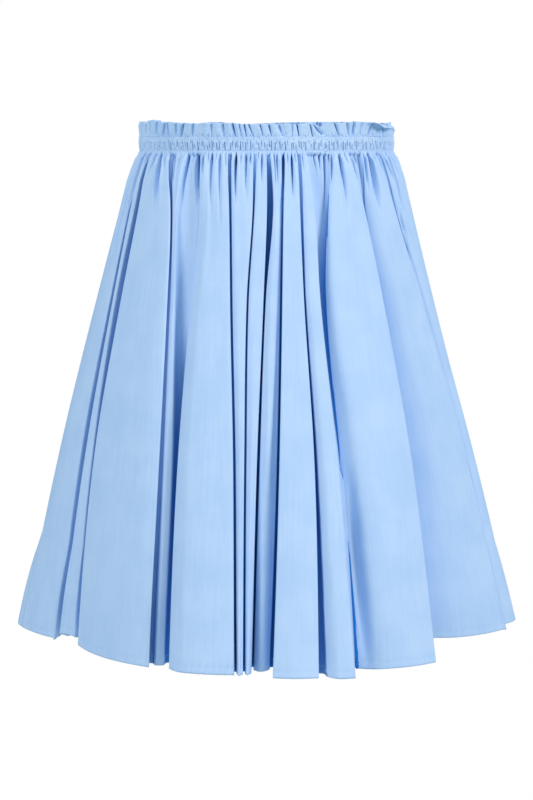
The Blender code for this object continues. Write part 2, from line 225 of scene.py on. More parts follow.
def on_outline(degrees, reach, drop):
    width, depth = outline_at(drop)
    angle = math.radians(degrees)
    return Vector((width * reach * math.sin(angle), -depth * reach * math.cos(angle), 0.0))


def inward_at(point, drop):
    """Unit vector from the outline towards the inside, turned a little towards the middle plane."""
    width, depth = outline_at(drop)
    return Vector((-INWARD_SLANT * point.x / width**2, -point.y / depth**2, 0.0)).normalized()


def let_go(drop):
    """0 at the stitches, where the cloth is held flat, and 1 from a few millimetres below them."""
    return ease(drop / HELD_DROP)


def gather_pinch(order, drop):
    """How far a short gather is drawn in at this drop."""
    reach = GATHER_REACHES[order % len(GATHER_REACHES)]
    onset = min(1.0, (drop + GATHER_ONSET) / (2 * GATHER_ONSET))
    return GATHER_DEPTH * onset * max(0.0, 1 - drop / reach) * let_go(drop)


def fold_points(fold, left, right, drop, order):
    """Control points across one fold's face, from edge to edge."""
    is_back = isinstance(fold, BackFold)
    width = (on_outline(*right, drop) - on_outline(*left, drop)).length
    shoulder = min(WIDEST_SHOULDER, (BACK_SHOULDER if is_back else FRONT_SHOULDER) / width)
    mids = 2 * fold.gathers + 1
    shares = [between((shoulder, 1 - shoulder), k / (mids + 1)) for k in range(mids + 2)]
    # Crisp edges in front: two control points on each
    edge_points = 1 if is_back else 2
    shares = [0.0] * edge_points + shares + [1.0] * edge_points
    settled = value_at(drop, STATIONS, SETTLED)
    lift = MM * (drop / SKIRT_LENGTH) ** 3
    points = []
    for k, share in enumerate(shares):
        crown = fold.crown * settled * 4 * share * (1 - share)
        degrees = between((left[0], right[0]), share)
        point = on_outline(degrees, between((left[1], right[1]), share) + crown, drop)
        # Every second point between the shoulders is drawn in
        if edge_points < k < len(shares) - 1 - edge_points and (k - edge_points) % 2 == 0:
            point += inward_at(point, drop) * gather_pinch(order + k, drop)
        point.z = lift * between(fold.rise, share)
        points.append(point)
    return points


def uneven_wave(way, rate, drift_rate, drift, phase=0.0):
    """A wave along the cloth with crests at uneven steps. Rates are in radians a metre."""
    return math.sin(rate * way + drift * math.sin(drift_rate * way) + phase)


def valley_points(fold, after, start, end, drop):
    """Control points down one groove and up again, between two folds' edges."""
    tucked = MM * value_at(drop, STATIONS, TUCKED)
    inward = inward_at((start + end) / 2, drop)
    along = Vector((inward.y, -inward.x, 0.0))
    ways = start.dot(along), end.dot(along)
    sinks = start.dot(inward), end.dot(inward)
    floor = max(sinks) + MM * value_at(drop, STATIONS, fold.valley) * let_go(drop)
    left_floor = ways[0] - fold.tuck[1] * tucked
    right_floor = ways[1] + after.tuck[0] * tucked
    half_floor = FLOOR_HALF_WIDTH + FLOOR_GROWTH * drop / SKIRT_LENGTH
    middle = (left_floor + right_floor) / 2
    left_floor = min(left_floor, middle - half_floor)
    right_floor = max(right_floor, middle + half_floor)
    step = abs(sinks[1] - sinks[0])
    slant = STEP_SLANT * min(max((step - SMALL_STEP) / (LARGE_STEP - SMALL_STEP), 0.0), 1.0)
    if sinks[1] > sinks[0]:
        left_floor = between((left_floor, middle - half_floor), slant)
    else:
        right_floor = between((right_floor, middle + half_floor), slant)
    spots = (
        (between((ways[0], left_floor), SIDE_BULGE), (sinks[0] + floor) / 2),
        (left_floor, floor),
        (right_floor, floor),
        (between((ways[1], right_floor), SIDE_BULGE), (sinks[1] + floor) / 2),
    )
    lift = Vector((0.0, 0.0, (start.z + end.z) / 2))
    return [along * way + inward * sunk + lift for way, sunk in spots]


def control_ring(drop):
    """The closed ring of control points at this drop, and the places of the two side seams."""
    folds = folds_at(drop)
    faces = [fold_points(*entry, drop, 3 * i) for i, entry in enumerate(folds)]
    ring = []
    seams = []
    for i, face in enumerate(faces):
        fold = folds[i][0]
        if fold.name in ("far_left", "far_right"):
            seams.append(len(ring) + len(face) // 2)
        after = (i + 1) % len(folds)
        ring += face
        ring += valley_points(fold, folds[after][0], face[-1], faces[after][0], drop)
    return ring, seams


# Finer shapes of the same cloth. The ring is read at even steps along the cloth, with the two
# side seams at columns 0 and HALF_COLUMNS. WAIST_SHARE is how far the steps are even at the
# gathers, the rest is how far they are even at the hem.
HALF_COLUMNS = 690
WAIST_SHARE = 0.72
WAIST_DROP = 0.012

# Gathers that spring from the channel. place is the share of the half width at which one starts,
# half_width and depth are in mm, reach is how far down it runs in mm, and lean is how many mm it
# moves to the right on its way down.
Gather = namedtuple("Gather", "place half_width depth reach lean", defaults=(0,))
FRONT_GATHERS = [Gather(*row) for row in (
    (-0.992, 1.5, 3.6, 80), (-0.962, 1.2, 3.0, 40), (-0.937, 1.5, 5.0, 60),
    (-0.900, 1.2, 3.0, 22, -2), (-0.872, 1.0, 2.4, 14, -1), (-0.844, 1.2, 3.4, 26, -2),
    (-0.804, 1.7, 7.0, 60), (-0.768, 1.0, 3.0, 18), (-0.720, 1.2, 3.6, 30), (-0.692, 1.4, 5.6, 34),
    (-0.655, 1.0, 2.6, 15, 1), (-0.622, 1.1, 2.0, 12), (-0.589, 1.9, 4.4, 62, 1),
    (-0.552, 1.0, 2.2, 14), (-0.519, 1.4, 6.6, 58, 3), (-0.480, 1.3, 4.6, 26, 2),
    (-0.440, 1.0, 2.0, 14), (-0.410, 1.9, 3.4, 60), (-0.380, 1.0, 2.4, 12), (-0.349, 1.5, 2.6, 75),
    (-0.322, 1.0, 2.0, 12), (-0.265, 1.0, 2.2, 16), (-0.230, 1.4, 7.0, 50), (-0.190, 1.0, 2.4, 14),
    (-0.149, 1.9, 4.2, 46), (-0.120, 1.0, 2.8, 16), (-0.060, 1.0, 2.2, 12), (-0.034, 1.3, 3.0, 36),
    (0.055, 1.1, 3.4, 40), (0.080, 1.3, 4.0, 36), (0.126, 1.2, 4.4, 40), (0.160, 1.0, 2.2, 14),
    (0.191, 1.3, 5.2, 50), (0.215, 1.0, 2.4, 16), (0.270, 1.0, 2.8, 22), (0.355, 1.1, 2.4, 18),
    (0.399, 1.4, 4.0, 20), (0.441, 1.7, 3.6, 60), (0.470, 1.0, 3.0, 12, 2), (0.496, 1.2, 4.6, 34),
    (0.518, 1.0, 3.4, 12, -2), (0.550, 1.5, 4.8, 66), (0.590, 1.0, 2.2, 16),
    (0.621, 1.5, 5.0, 74, 7), (0.660, 1.0, 2.6, 20, 3), (0.700, 1.3, 3.6, 40),
    (0.739, 1.2, 4.4, 40), (0.771, 1.7, 7.0, 64), (0.805, 1.0, 2.4, 14, 1),
    (0.835, 1.0, 2.6, 20, 2), (0.877, 1.2, 4.0, 34, 6), (0.920, 1.9, 5.6, 74),
    (0.952, 1.2, 3.4, 40, 2), (0.982, 1.4, 4.4, 56, 3),
)]
# How much further down the gathers run than where they are sharp
GATHER_STRETCH = 1.05
# What the gathers of the back, and the fine ones all round, take in turn: the way to the next
# one, half width, depth, reach and lean, all in mm
BACK_GATHERS = (
    (13, 9, 17, 11, 8, 15, 12, 19, 10),
    (1.5,),
    (4.6, 2.7, 6.0, 3.0, 5.2, 2.4, 3.8),
    (42, 26, 60, 35, 75, 22, 50, 30),
    (0,),
)
FINE_GATHERS = (
    (5.1, 8.6, 6.2, 11.0, 5.3, 7.4, 12.2, 6.0, 9.1, 7.0),
    (0.8, 1.4, 0.7, 1.7, 1.0),
    (1.6, 2.6, 1.0, 2.9, 1.5, 2.2, 1.1, 2.5),
    (12, 17, 10, 21, 13, 26, 11, 15, 19, 12, 30),
    (-1.2, 0.7, 0.0, -0.9, 1.5, 0.4, -1.6),
)
# The back's gathers keep this far from the side seams
SEAM_MARGIN = 0.006

# Long soft creases in the broad faces. across is the share of the fold's face, at the top and at
# the bottom of the crease, starts and ends are drops in mm, depth and half_width are in mm. One
# with a depth below zero is a ridge.
Crease = namedtuple("Crease", "fold across starts ends depth half_width")
CREASES = [Crease(*row) for row in (
    ("left_broad", (0.30, 0.26), 20, 300, 0.9, 6), ("left_broad", (0.62, 0.55), 60, 470, 0.8, 9),
    ("left_broad", (0.84, 0.80), 150, 527, 0.7, 7), ("left_centre", (0.22, 0.10), 25, 210, 1.6, 7),
    ("left_centre", (0.52, 0.45), 20, 170, 1.2, 6), ("left_centre", (0.70, 0.66), 90, 500, 0.7, 8),
    ("mid_strip", (0.45, 0.50), 15, 160, 1.0, 4), ("right_centre", (0.50, 0.40), 60, 420, 0.7, 5),
    ("right_broad", (0.28, 0.30), 20, 200, 1.2, 6), ("right_broad", (0.60, 0.72), 30, 330, 1.0, 9),
    ("right_broad", (0.20, 0.225), 330, 560, 9.0, 6), ("right_broad", (0.45, 0.52), 170, 420, 1.2, 7),
    ("right_flat", (0.40, 0.50), 20, 380, 0.9, 8), ("far_right", (0.16, 0.14), 62, 96, 3.6, 1.6),
    ("far_right", (0.50, 0.50), 440, 620, -3.2, 25), ("far_left", (0.41, 0.41), 430, 620, -7.0, 35),
    ("mid_right", (0.45, 0.45), 60, 760, -12.0, 13), ("far_right", (0.30, 0.34), 15, 240, 1.4, 5),
    ("far_right", (0.42, 0.50), 60, 460, 0.8, 9), ("far_left", (0.74, 0.70), 4, 130, 8.5, 2.7),
    ("far_left", (0.50, 0.56), 20, 260, 1.0, 8), ("far_left", (0.30, 0.34), 90, 500, 0.8, 9),
    ("right_rear", (0.45, 0.52), 30, 360, 1.0, 8), ("right_full", (0.35, 0.42), 25, 300, 1.1, 8),
    ("right_full", (0.72, 0.66), 140, 527, 0.8, 8), ("centre_left", (0.40, 0.34), 20, 260, 1.1, 7),
    ("centre_left", (0.66, 0.74), 180, 527, 0.8, 9), ("left_full", (0.55, 0.48), 30, 420, 0.9, 8),
    ("left_rear", (0.50, 0.44), 20, 330, 1.0, 8),
)]
# A crease is cut off at this many half widths, and is deepest a little above its middle
CREASE_CUT = 3
CREASE_RISE = 1.15
CREASE_FULLNESS = 0.7
# How far up the hem's stitches lie, depth and half width of the press mark along them, and the
# puckers that they draw, which fade out above them
HEM_STITCH_UP = 0.0077
HEM_PRESS = 0.00028
HEM_PRESS_HALF = 0.0016
HEM_PUCKER = 0.00022
HEM_PUCKER_WAVE = (math.tau / 0.0083, 41, 3)
HEM_PUCKER_UP = 0.014
HEM_PUCKER_FADE = 0.006
PRESS_UNEVENNESS = 0.6
SIDE_SEAM_PRESS = 0.0007
SIDE_SEAM_COLUMNS = 1.6
# The gathered cloth springs out from under the channel, the most at a third of SPRING_DROP
SPRING_OUT = 0.01134
SPRING_DROP = 0.030


def read_ring(ring, place):
    """A point on the cubic B-spline of a closed ring of control points."""
    i = int(place) % len(ring)
    t = place - int(place)
    weights = ((1 - t) ** 3, 3 * t**3 - 6 * t**2 + 4, -3 * t**3 + 3 * t**2 + 3 * t + 1, t**3)
    point = Vector((0.0, 0.0, 0.0))
    for step, weight in zip((-1, 0, 1, 2), weights):
        point += ring[(i + step) % len(ring)] * weight
    return point / 6


def lengths_round(points):
    """How far along a closed ring each of its points lies, and the whole way round."""
    along = [0.0]
    for i in range(len(points)):
        along.append(along[-1] + (points[(i + 1) % len(points)] - points[i]).length)
    return along[:-1], along[-1]


top_ring, top_seams = control_ring(0.0)


def even_places(steps=12):
    """The places on the ring of every column, from the front's left seam round to it again."""
    first, last = top_seams
    places = []
    for start, end in ((first, last), (last, first + len(top_ring))):
        fine = np.linspace(start, end, (end - start) * steps + 1).tolist()
        ways = np.zeros(len(fine))
        for drop, weight in ((WAIST_DROP, WAIST_SHARE), (SKIRT_LENGTH, 1 - WAIST_SHARE)):
            ring, _ = control_ring(drop)
            points = [read_ring(ring, place % len(ring)) for place in fine]
            sizes = [(b - a).length for a, b in zip(points, points[1:])]
            ways[1:] += weight * np.cumsum(sizes) / sum(sizes)
        places += np.interp(np.arange(HALF_COLUMNS) / HALF_COLUMNS, ways, fine).tolist()
    return [place % len(top_ring) for place in places]


PLACES = even_places()
COLUMNS = len(PLACES)


def fold_spans():
    """First and last place on the ring of each fold's face."""
    spans = {}
    place = 0
    for fold, left, right in folds_at(0.0):
        face = len(fold_points(fold, left, right, 0.0, 0))
        spans[fold.name] = (place, place + face - 1)
        place += face + VALLEY_POINTS
    return spans


waist = [read_ring(top_ring, place) for place in PLACES]
waist_along, waist_round = lengths_round(waist)
FOLD_SPANS = fold_spans()


def waist_column(share):
    """The column on the front whose point lies nearest to this share of the half width."""
    wanted = share * OUTLINES[0].half_width
    return min(range(HALF_COLUMNS + 1), key=lambda c: abs(waist[c].x - wanted))


def in_turn(sizes, start, end):
    """Places from start to end, each with what it takes in turn from each row of sizes."""
    found = []
    while start < end:
        space, *rest = [MM * row[len(found) % len(row)] for row in sizes]
        found.append((start, *rest))
        start += space
    return found


def all_gathers():
    """(place along the waist, half width, depth, reach, lean) of every gather, in metres."""
    found = in_turn(FINE_GATHERS, 0.0, waist_round)
    found += in_turn(BACK_GATHERS, waist_along[HALF_COLUMNS] + SEAM_MARGIN, waist_round - SEAM_MARGIN)
    for gather in FRONT_GATHERS:
        half_width, depth, reach, lean = [MM * size for size in gather[1:]]
        place = waist_along[waist_column(gather.place)]
        found.append((place, half_width, depth, GATHER_STRETCH * reach, lean))
    return sorted(found)


def near(found, places, place, window):
    """Those of the features, sorted by their places, that lie within a window of this place."""
    return found[bisect_right(places, place - window) : bisect_right(places, place + window)]


gathers = all_gathers()
gather_places = [gather[0] for gather in gathers]
GATHER_WINDOW = 0.012
GATHER_GAIN = 2.4
# A gather has this share of its width at the stitches, is widest at the drop GATHER_OPEN, and
# narrows by the last share towards its end
GATHER_START = 0.45
GATHER_OPEN = 0.011
GATHER_NARROWS = 0.4
# The power of its section's fall, and where, in half widths, the cloth beside it swells out
GATHER_POWER = 1.4
GATHER_SWELL = 0.14
SWELL_AWAY = 2.4
SWELL_HALF = 1.1
# Gathers keep close to the stitches a little longer than plain cloth
GATHER_HELD = 0.6


def gather_depth(along, drop):
    """How far the cloth is drawn in by the gathers near this place at this drop."""
    opened = min(1.0, GATHER_START + (1 - GATHER_START) * drop / GATHER_OPEN)
    depth = 0.0
    for here in (along - waist_round, along, along + waist_round):
        for place, half_width, most, reach, lean in near(gathers, gather_places, here, GATHER_WINDOW):
            fallen = drop / reach
            if fallen < 1:
                half = half_width * opened * (1 - GATHER_NARROWS * fallen)
                away = abs(here - place - lean * fallen) / half
                swell = GATHER_SWELL * math.exp(-(((away - SWELL_AWAY) / SWELL_HALF) ** 2))
                cut = math.exp(-(away**GATHER_POWER)) - swell
                depth += GATHER_GAIN * most * (1 - fallen) * cut
    return depth * let_go(GATHER_HELD * drop)


# Small crumples below the channel's stitches, in turn: the way to the next one, depth, half
# width and slant, and the drops between which it runs, all in mm. One in CRUMPLE_SKIP is skipped.
CRUMPLES_FROM = 0.001
CRUMPLE_SKIP = 5
Crumple = namedtuple("Crumple", "step depth half_width slant starts ends")
CRUMPLES = [Crumple(*row) for row in (
    (2.6, 1.6, 0.8, -0.8, 0.5, 5.5), (1.9, 0.9, 0.7, -1.4, 1.2, 4.4),
    (3.2, 1.8, 0.8, 0.6, 0.4, 6.5), (2.1, 1.2, 0.7, -0.5, 1.8, 5.4),
    (2.8, 1.5, 0.8, -1.6, 0.6, 4.8), (1.7, 0.9, 0.7, 1.1, 1.0, 4.0),
    (3.6, 1.7, 0.9, -0.9, 0.4, 6.0),
)]


def all_crumples():
    """(place along the waist, depth, half width, slant, starts, ends) of each, in metres."""
    found = []
    along = CRUMPLES_FROM
    while along < waist_round:
        step, *sizes = CRUMPLES[(len(found) + len(found) // CRUMPLE_SKIP) % len(CRUMPLES)]
        found.append((along, *[MM * size for size in sizes]))
        along += MM * step
    return found


crumples = all_crumples()
crumple_places = [crumple[0] for crumple in crumples]
CRUMPLE_WINDOW = 0.004
CRUMPLE_FADE = 0.6


def crumple_depth(along, drop):
    """How far the small crumples draw the cloth in just below the stitches."""
    depth = 0.0
    nearby = near(crumples, crumple_places, along, CRUMPLE_WINDOW)
    for place, most, half_width, slant, starts, ends in nearby:
        if starts < drop < ends:
            run = (drop - starts) / (ends - starts)
            away = (along - place - slant * (run - 0.5)) / half_width
            depth += most * math.sin(math.pi * run) ** CRUMPLE_FADE * math.exp(-away * away)
    return depth


def crease_depth(place, drop, spread):
    """How far the long creases draw the cloth in here. spread is the cloth's width per place."""
    depth = 0.0
    for crease in CREASES:
        run = (drop / MM - crease.starts) / (crease.ends - crease.starts)
        if not 0 < run < 1:
            continue
        first, last = FOLD_SPANS[crease.fold]
        middle = between((first, last), between(crease.across, run))
        away = (place - middle) * spread / (MM * crease.half_width)
        if abs(away) < CREASE_CUT:
            swell = math.sin(math.pi * min(1.0, run * CREASE_RISE)) ** CREASE_FULLNESS
            depth += MM * crease.depth * swell * math.exp(-away * away)
    return depth


# Where a face slopes softly into a groove. fold and side say which edge of which face; sink, in
# mm, is how far in that edge lies at each station, and run, in mm, how far across the face the
# slope reaches.
Slope = namedtuple("Slope", "fold side sink run")
SLOPES = [Slope(*row) for row in (
    ("left_narrow", "left", (0, 2, 3, 5, 1.5), (3, 4, 6, 9, 4)),
    ("left_strip", "left", (0, 2, 3, 3, 5), (3, 4, 5, 6, 7)),
    ("left_centre", "left", (0, 4, 8, 9, 12), (5, 14, 14, 16, 21)),
    ("mid_strip", "left", (0, 2, 3, 3, 4), (3, 5, 6, 7, 6)),
    ("mid_left", "left", (0, 1, 2, 3, 4), (3, 4, 5, 6, 4)),
    ("mid_right", "left", (0, 2, 3, 4, 5), (3, 4, 5, 7, 8)),
    ("mid_right", "right", (0, 3, 4, 4, 5), (3, 5, 6, 7, 8)),
    ("right_strip", "left", (0, 2, 3, 6, 10), (3, 5, 6, 8, 12)),
    ("right_broad", "left", (0, 5, 7, 6, 6), (6, 10, 14, 20, 22)),
    ("right_flat", "left", (0, 3, 8, 10, 11), (6, 10, 20, 26, 30)),
    ("far_right", "left", (0, 2, 3, 3, 5), (4, 7, 8, 9, 14)),
)]
# Control places from a face's edge down to the middle of its groove
SIDE_PLACES = 2.6


def slope_pushes(plain, drop):
    """How far each column moves in to make the soft slopes at this drop."""
    pushes = [0.0] * COLUMNS
    for slope in SLOPES:
        first, last = FOLD_SPANS[slope.fold]
        sink = MM * value_at(drop, STATIONS, slope.sink) * let_go(drop)
        run = MM * value_at(drop, STATIONS, slope.run)
        heading = 1 if slope.side == "left" else -1
        # The edge's two control points share one place
        edge_place = first + 0.5 if slope.side == "left" else last - 0.5
        edge = min(range(COLUMNS), key=lambda c: abs(PLACES[c] - edge_place))
        inward = inward_at(plain[edge], drop)
        c = edge
        while abs(PLACES[c] - edge_place) < last - first - 1:
            away = (plain[c] - plain[edge]).length / run
            if away >= 1:
                break
            pushes[c] = max(pushes[c], sink * (1 - away) ** 2)
            c = (c + heading) % COLUMNS
        c = (edge - heading) % COLUMNS
        while abs(PLACES[c] - edge_place) < SIDE_PLACES:
            sunk = (plain[c] - plain[edge]).dot(inward)
            pushes[c] = max(pushes[c], sink - sunk, 0.0)
            c = (c - heading) % COLUMNS
    return pushes


def cloth_ring(drop):
    """Every column's point of the skirt at this drop, with its gathers, creases and hem press."""
    below = max(drop, 0.0)
    controls, _ = control_ring(below)
    plain = [read_ring(controls, place) for place in PLACES]
    # At the stitches the cloth lies on the channel's own oval
    oval = outline_at(below)
    for c, point in enumerate(plain):
        reach = math.hypot(point.x / oval[0], point.y / oval[1])
        held = Vector((point.x / reach, point.y / reach, point.z))
        plain[c] = held.lerp(point, let_go(drop))
    pushes = slope_pushes(plain, below)
    along, _ = lengths_round(plain)
    stitch = (drop - SKIRT_LENGTH + HEM_STITCH_UP) / HEM_PRESS_HALF
    press = HEM_PRESS * math.exp(-stitch * stitch)
    near_hem = min(max((drop - SKIRT_LENGTH + HEM_PUCKER_UP) / HEM_PUCKER_FADE, 0.0), 1.0)
    fallen = below / SPRING_DROP
    sprung = SPRING_OUT * fallen * math.exp(-3 * fallen)
    points = []
    for c, point in enumerate(plain):
        depth = gather_depth(waist_along[c], below) + pushes[c] - sprung
        depth += crumple_depth(waist_along[c], drop)
        after = (c + 2) % COLUMNS
        spread = (plain[after] - plain[c - 2]).length
        spread /= (PLACES[after] - PLACES[c - 2]) % len(top_ring)
        depth += crease_depth(PLACES[c], drop, spread)
        ripple = uneven_wave(along[c], *HEM_PUCKER_WAVE)
        depth += press * (1 + PRESS_UNEVENNESS * ripple) + HEM_PUCKER * near_hem * ripple
        from_seam = min(c, abs(c - HALF_COLUMNS), COLUMNS - c) / SIDE_SEAM_COLUMNS
        depth += SIDE_SEAM_PRESS * math.exp(-from_seam * from_seam)
        points.append(point + inward_at(point, drop) * depth)
    return points, along


def row_drops(bands):
    """Drops from the top down: each (lowest drop, count) adds that many equal steps."""
    drops = [bands[0][0]]
    for lowest, count in bands[1:]:
        start = drops[-1]
        drops += [start + (lowest - start) * (k + 1) / count for k in range(count)]
    return drops


# The first rows lie over the channel's lower edge, where the stitches press them together
PANEL_DROPS = row_drops(
    ((-0.0010, 1), (0.0, 1), (0.0084, 7), (0.030, 10), (0.110, 14), (0.508, 28), (SKIRT_LENGTH, 10))
)
TOP = -CHANNEL_HEIGHT / 2 - GAP
LAP_OUT = 0.0001
# Points of a row face outwards as on the skirt's outline at this drop
OPEN_OVAL_DROP = 0.2
OPEN_REACH = 40


def openness(points, reach):
    """How open each point of a level row lies to the outside: 1 on a face, 0 deep in a groove.

    It is the share of the half turn in front of the point that the row, within reach columns,
    leaves free.
    """
    places = np.array([(point.x, point.y) for point in points])
    outward = places / np.array(outline_at(OPEN_OVAL_DROP)) ** 2
    outward /= np.linalg.norm(outward, axis=1)[:, None]
    sideways = np.stack((-outward[:, 1], outward[:, 0]), axis=1)
    closed = np.zeros(len(points))
    for direction in (1, -1):
        highest = np.zeros(len(points))
        for step in range(1, reach + 1):
            away = np.roll(places, -direction * step, axis=0) - places
            along = (away * sideways).sum(axis=1) * direction
            highest = np.maximum(highest, np.arctan2((away * outward).sum(axis=1), along))
        closed += highest
    return np.clip(1 - closed / math.pi, 0.0, 1.0).tolist()


cloth_rings = {drop: cloth_ring(drop) for drop in PANEL_DROPS}
ring_openness = {drop: openness(cloth_rings[drop][0], OPEN_REACH) for drop in PANEL_DROPS}


def columns_of(side):
    """The columns of the front or back half, from side seam to side seam."""
    if side == "front":
        return list(range(HALF_COLUMNS + 1))
    return [*range(HALF_COLUMNS, COLUMNS), 0]


# The cloth's pattern runs down the folds: it is laid out as wide as the cloth is half way down
MIDDLE_DROP = min(PANEL_DROPS, key=lambda drop: abs(drop - SKIRT_LENGTH / 2))
pattern_along = cloth_rings[MIDDLE_DROP][1]


def panel_rows(side, drops):
    """Rows of (point, place on the cloth, openness) for one panel."""
    rows = []
    for drop in drops:
        points = cloth_rings[drop][0]
        row = []
        for c in columns_of(side):
            point = points[c]
            if drop < 0:
                point = point * (1 + LAP_OUT / point.length)
            place = Vector((point.x, point.y, TOP - drop + point.z))
            row.append((place, (pattern_along[c], drop), ring_openness[drop][c]))
        rows.append(row)
    return rows


def add_object(name, data):
    """A new object of the scene with this mesh, lamp or camera."""
    added = bpy.data.objects.new(name, data)
    bpy.context.scene.collection.objects.link(added)
    return added


def cloth_sheet(name, rows, thickness, inside=0.0):
    """A thin sheet of cloth: a grid laid through the rows, top row first."""
    columns = len(rows[0]) - 1
    bands = len(rows) - 1
    bm = bmesh.new()
    cloth = bm.loops.layers.uv.new("cloth")
    openings = bm.verts.layers.float.new("openness")
    bmesh.ops.create_grid(bm, x_segments=columns, y_segments=bands, size=1.0)
    spot = {}
    for vertex in bm.verts:
        column = round((vertex.co.x + 1) / 2 * columns)
        band = round((1 - vertex.co.y) / 2 * bands)
        point, spot[vertex], vertex[openings] = rows[band][column]
        vertex.co = point
    for face in bm.faces:
        face.smooth = True
        for loop in face.loops:
            loop[cloth].uv = spot[loop.vert]
    mesh = bpy.data.meshes.new(name)
    bm.to_mesh(mesh)
    bm.free()
    sheet = add_object(name, mesh)
    solidify = sheet.modifiers.new("thickness", "SOLIDIFY")
    solidify.thickness = thickness
    solidify.offset = -2 * inside / thickness
    return sheet


def linear(hex_colour):
    """An sRGB hex colour as linear red, green, blue and alpha."""
    parts = [int(hex_colour[i : i + 2], 16) / 255 for i in (1, 3, 5)]
    return (*[p / 12.92 if p <= 0.04045 else ((p + 0.055) / 1.055) ** 2.4 for p in parts], 1.0)


def new_material(name):
    material = bpy.data.materials.new(name)
    material.use_nodes = True
    material.node_tree.nodes.clear()
    return material


def add_node(owner, kind, settings=None, inputs=None, output=0):
    """Adds a node to a material or world, with inputs as values or links, and gives an output."""
    tree = owner.node_tree
    node = tree.nodes.new("ShaderNode" + kind)
    for key, value in (settings or {}).items():
        setattr(node, key, value)
    for key, value in (inputs or {}).items():
        if isinstance(value, bpy.types.NodeSocket):
            tree.links.new(value, node.inputs[key])
        else:
            node.inputs[key].default_value = value
    return node.outputs[output] if node.outputs else None


def mixed(owner, factor, first, second):
    """A colour that goes from the first to the second with the factor."""
    inputs = {"Factor": factor, "A": first, "B": second}
    return add_node(owner, "Mix", {"data_type": "RGBA"}, inputs, "Result")


def ramp(material, value, low, high):
    """Rises smoothly from 0 to 1 while the value goes from low to high."""
    inputs = {"Value": value, "From Min": low, "From Max": high}
    return add_node(material, "MapRange", {"interpolation_type": "SMOOTHSTEP"}, inputs)


def bump(material, height, distance, normal=None):
    inputs = {"Height": height, "Strength": 1.0, "Distance": distance}
    if normal:
        inputs["Normal"] = normal
    return add_node(material, "Bump", {}, inputs)


def finish(material, inputs):
    """Gives the material a principled surface with these inputs."""
    shader = add_node(material, "BsdfPrincipled", {}, inputs)
    add_node(material, "OutputMaterial", {}, {"Surface": shader})
    return material


# The cloth has its own colour from OPEN_FROM on, and a painted groove shade up to CLOSED_FROM
CLOSED_FROM = 0.04
OPEN_FROM = 0.37
GROOVE_SHADE_COLOUR = "#2480CC"

# Poplin: a plain weave of fine combed cotton, close and crisp, with a faint rib across. Matt, with
# a soft bloom at grazing angles. Its threads are 0.2 mm apart; they are drawn 0.9 mm apart, since
# finer ones would not show.
THREAD_PITCH_MM = 0.9
SLUB_WIDTH_MM = 2.4
SLUB_LENGTH_MM = 60
SLUB_WEIGHT = 0.55
MOTTLE_MM = 38
WEAVE_DEPTH = 0.00001


def poplin(name, colour, shade, crush_depth, crush_mm):
    material = new_material(name)
    cloth = add_node(material, "UVMap", {"uv_map": "cloth"})
    space = add_node(material, "TexCoord", output="Object")
    threads = {}
    for i, direction in enumerate("XY"):
        settings = {"wave_type": "BANDS", "bands_direction": direction, "wave_profile": "SIN"}
        # A wave texture of scale 1 repeats every tau / 20
        inputs = {"Vector": cloth, "Scale": math.tau / 20 * 1000 / THREAD_PITCH_MM,
                  "Distortion": 0.6, "Detail": 1.0, "Detail Scale": 1.5}
        threads[i] = add_node(material, "TexWave", settings, inputs, "Fac")
    weave = add_node(material, "Math", {"operation": "MAXIMUM"}, threads)
    slub_scale = (1000 / SLUB_WIDTH_MM, 1000 / SLUB_LENGTH_MM, 1.0)
    stretched = add_node(material, "Mapping", {}, {"Vector": cloth, "Scale": slub_scale})
    slub = add_node(material, "TexNoise", {"noise_dimensions": "2D"},
                    {"Vector": stretched, "Scale": 1.0, "Detail": 2.0})
    mottle = add_node(material, "TexNoise", {},
                      {"Vector": space, "Scale": 1000 / MOTTLE_MM, "Detail": 3.0})
    crush = add_node(material, "TexNoise", {}, {"Vector": space, "Scale": 1000 / crush_mm,
                                                "Detail": 2.5, "Roughness": 0.55})
    spread = add_node(material, "Math", {"operation": "MULTIPLY_ADD"},
                      {0: slub, 1: SLUB_WEIGHT, 2: mottle})
    faces = mixed(material, ramp(material, spread, 0.45, 1.1), linear(shade), linear(colour))
    # Painted shade: where the grooves close in, the base colour turns to the painted groove shade
    opened = add_node(material, "Attribute", {"attribute_name": "openness"}, output="Fac")
    opened = ramp(material, opened, CLOSED_FROM, OPEN_FROM)
    return finish(material, {
        "Base Color": mixed(material, opened, linear(GROOVE_SHADE_COLOUR), faces),
        "Roughness": 0.82,
        "Metallic": 0.0,
        "IOR": 1.45,
        "Specular IOR Level": 0.22,
        "Sheen Weight": 0.05,
        "Sheen Roughness": 0.4,
        "Sheen Tint": linear("#BBD6FA"),
        "Normal": bump(material, weave, WEAVE_DEPTH, bump(material, crush, crush_depth)),
    })


# A crisp panel only has broad, shallow unevenness between its folds
panel_poplin = poplin("cotton_poplin", "#BFDAFD", "#B4D2F9", 0.0006, 22)

PANEL_THICKNESS = 0.0005
# Each panel is cut as a sector
for side in ("front", "back"):
    panel = cloth_sheet(f"panel_{side}", panel_rows(side, PANEL_DROPS), PANEL_THICKNESS)
    panel.data.materials.append(panel_poplin)
    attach(panel, "root")
    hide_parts(f"skirt_{side}")


# The hem turn: the panels' lower edge, folded up 9 mm inside and topstitched all round. It is
# the same poplin, and lies against the inside of the panels.

TURN_THICKNESS = 0.0005
TURN_INSIDE = 0.0007
# The panels' rows that lie within the hem turn
turn_drops = [drop for drop in PANEL_DROPS if drop > SKIRT_LENGTH - HEM_TURN]
for side in ("front", "back"):
    turn = cloth_sheet(f"hem_{side}", panel_rows(side, turn_drops), TURN_THICKNESS, TURN_INSIDE)
    turn.data.materials.append(panel_poplin)
    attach(turn, "root")
    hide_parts(f"hem_turn_{side}")


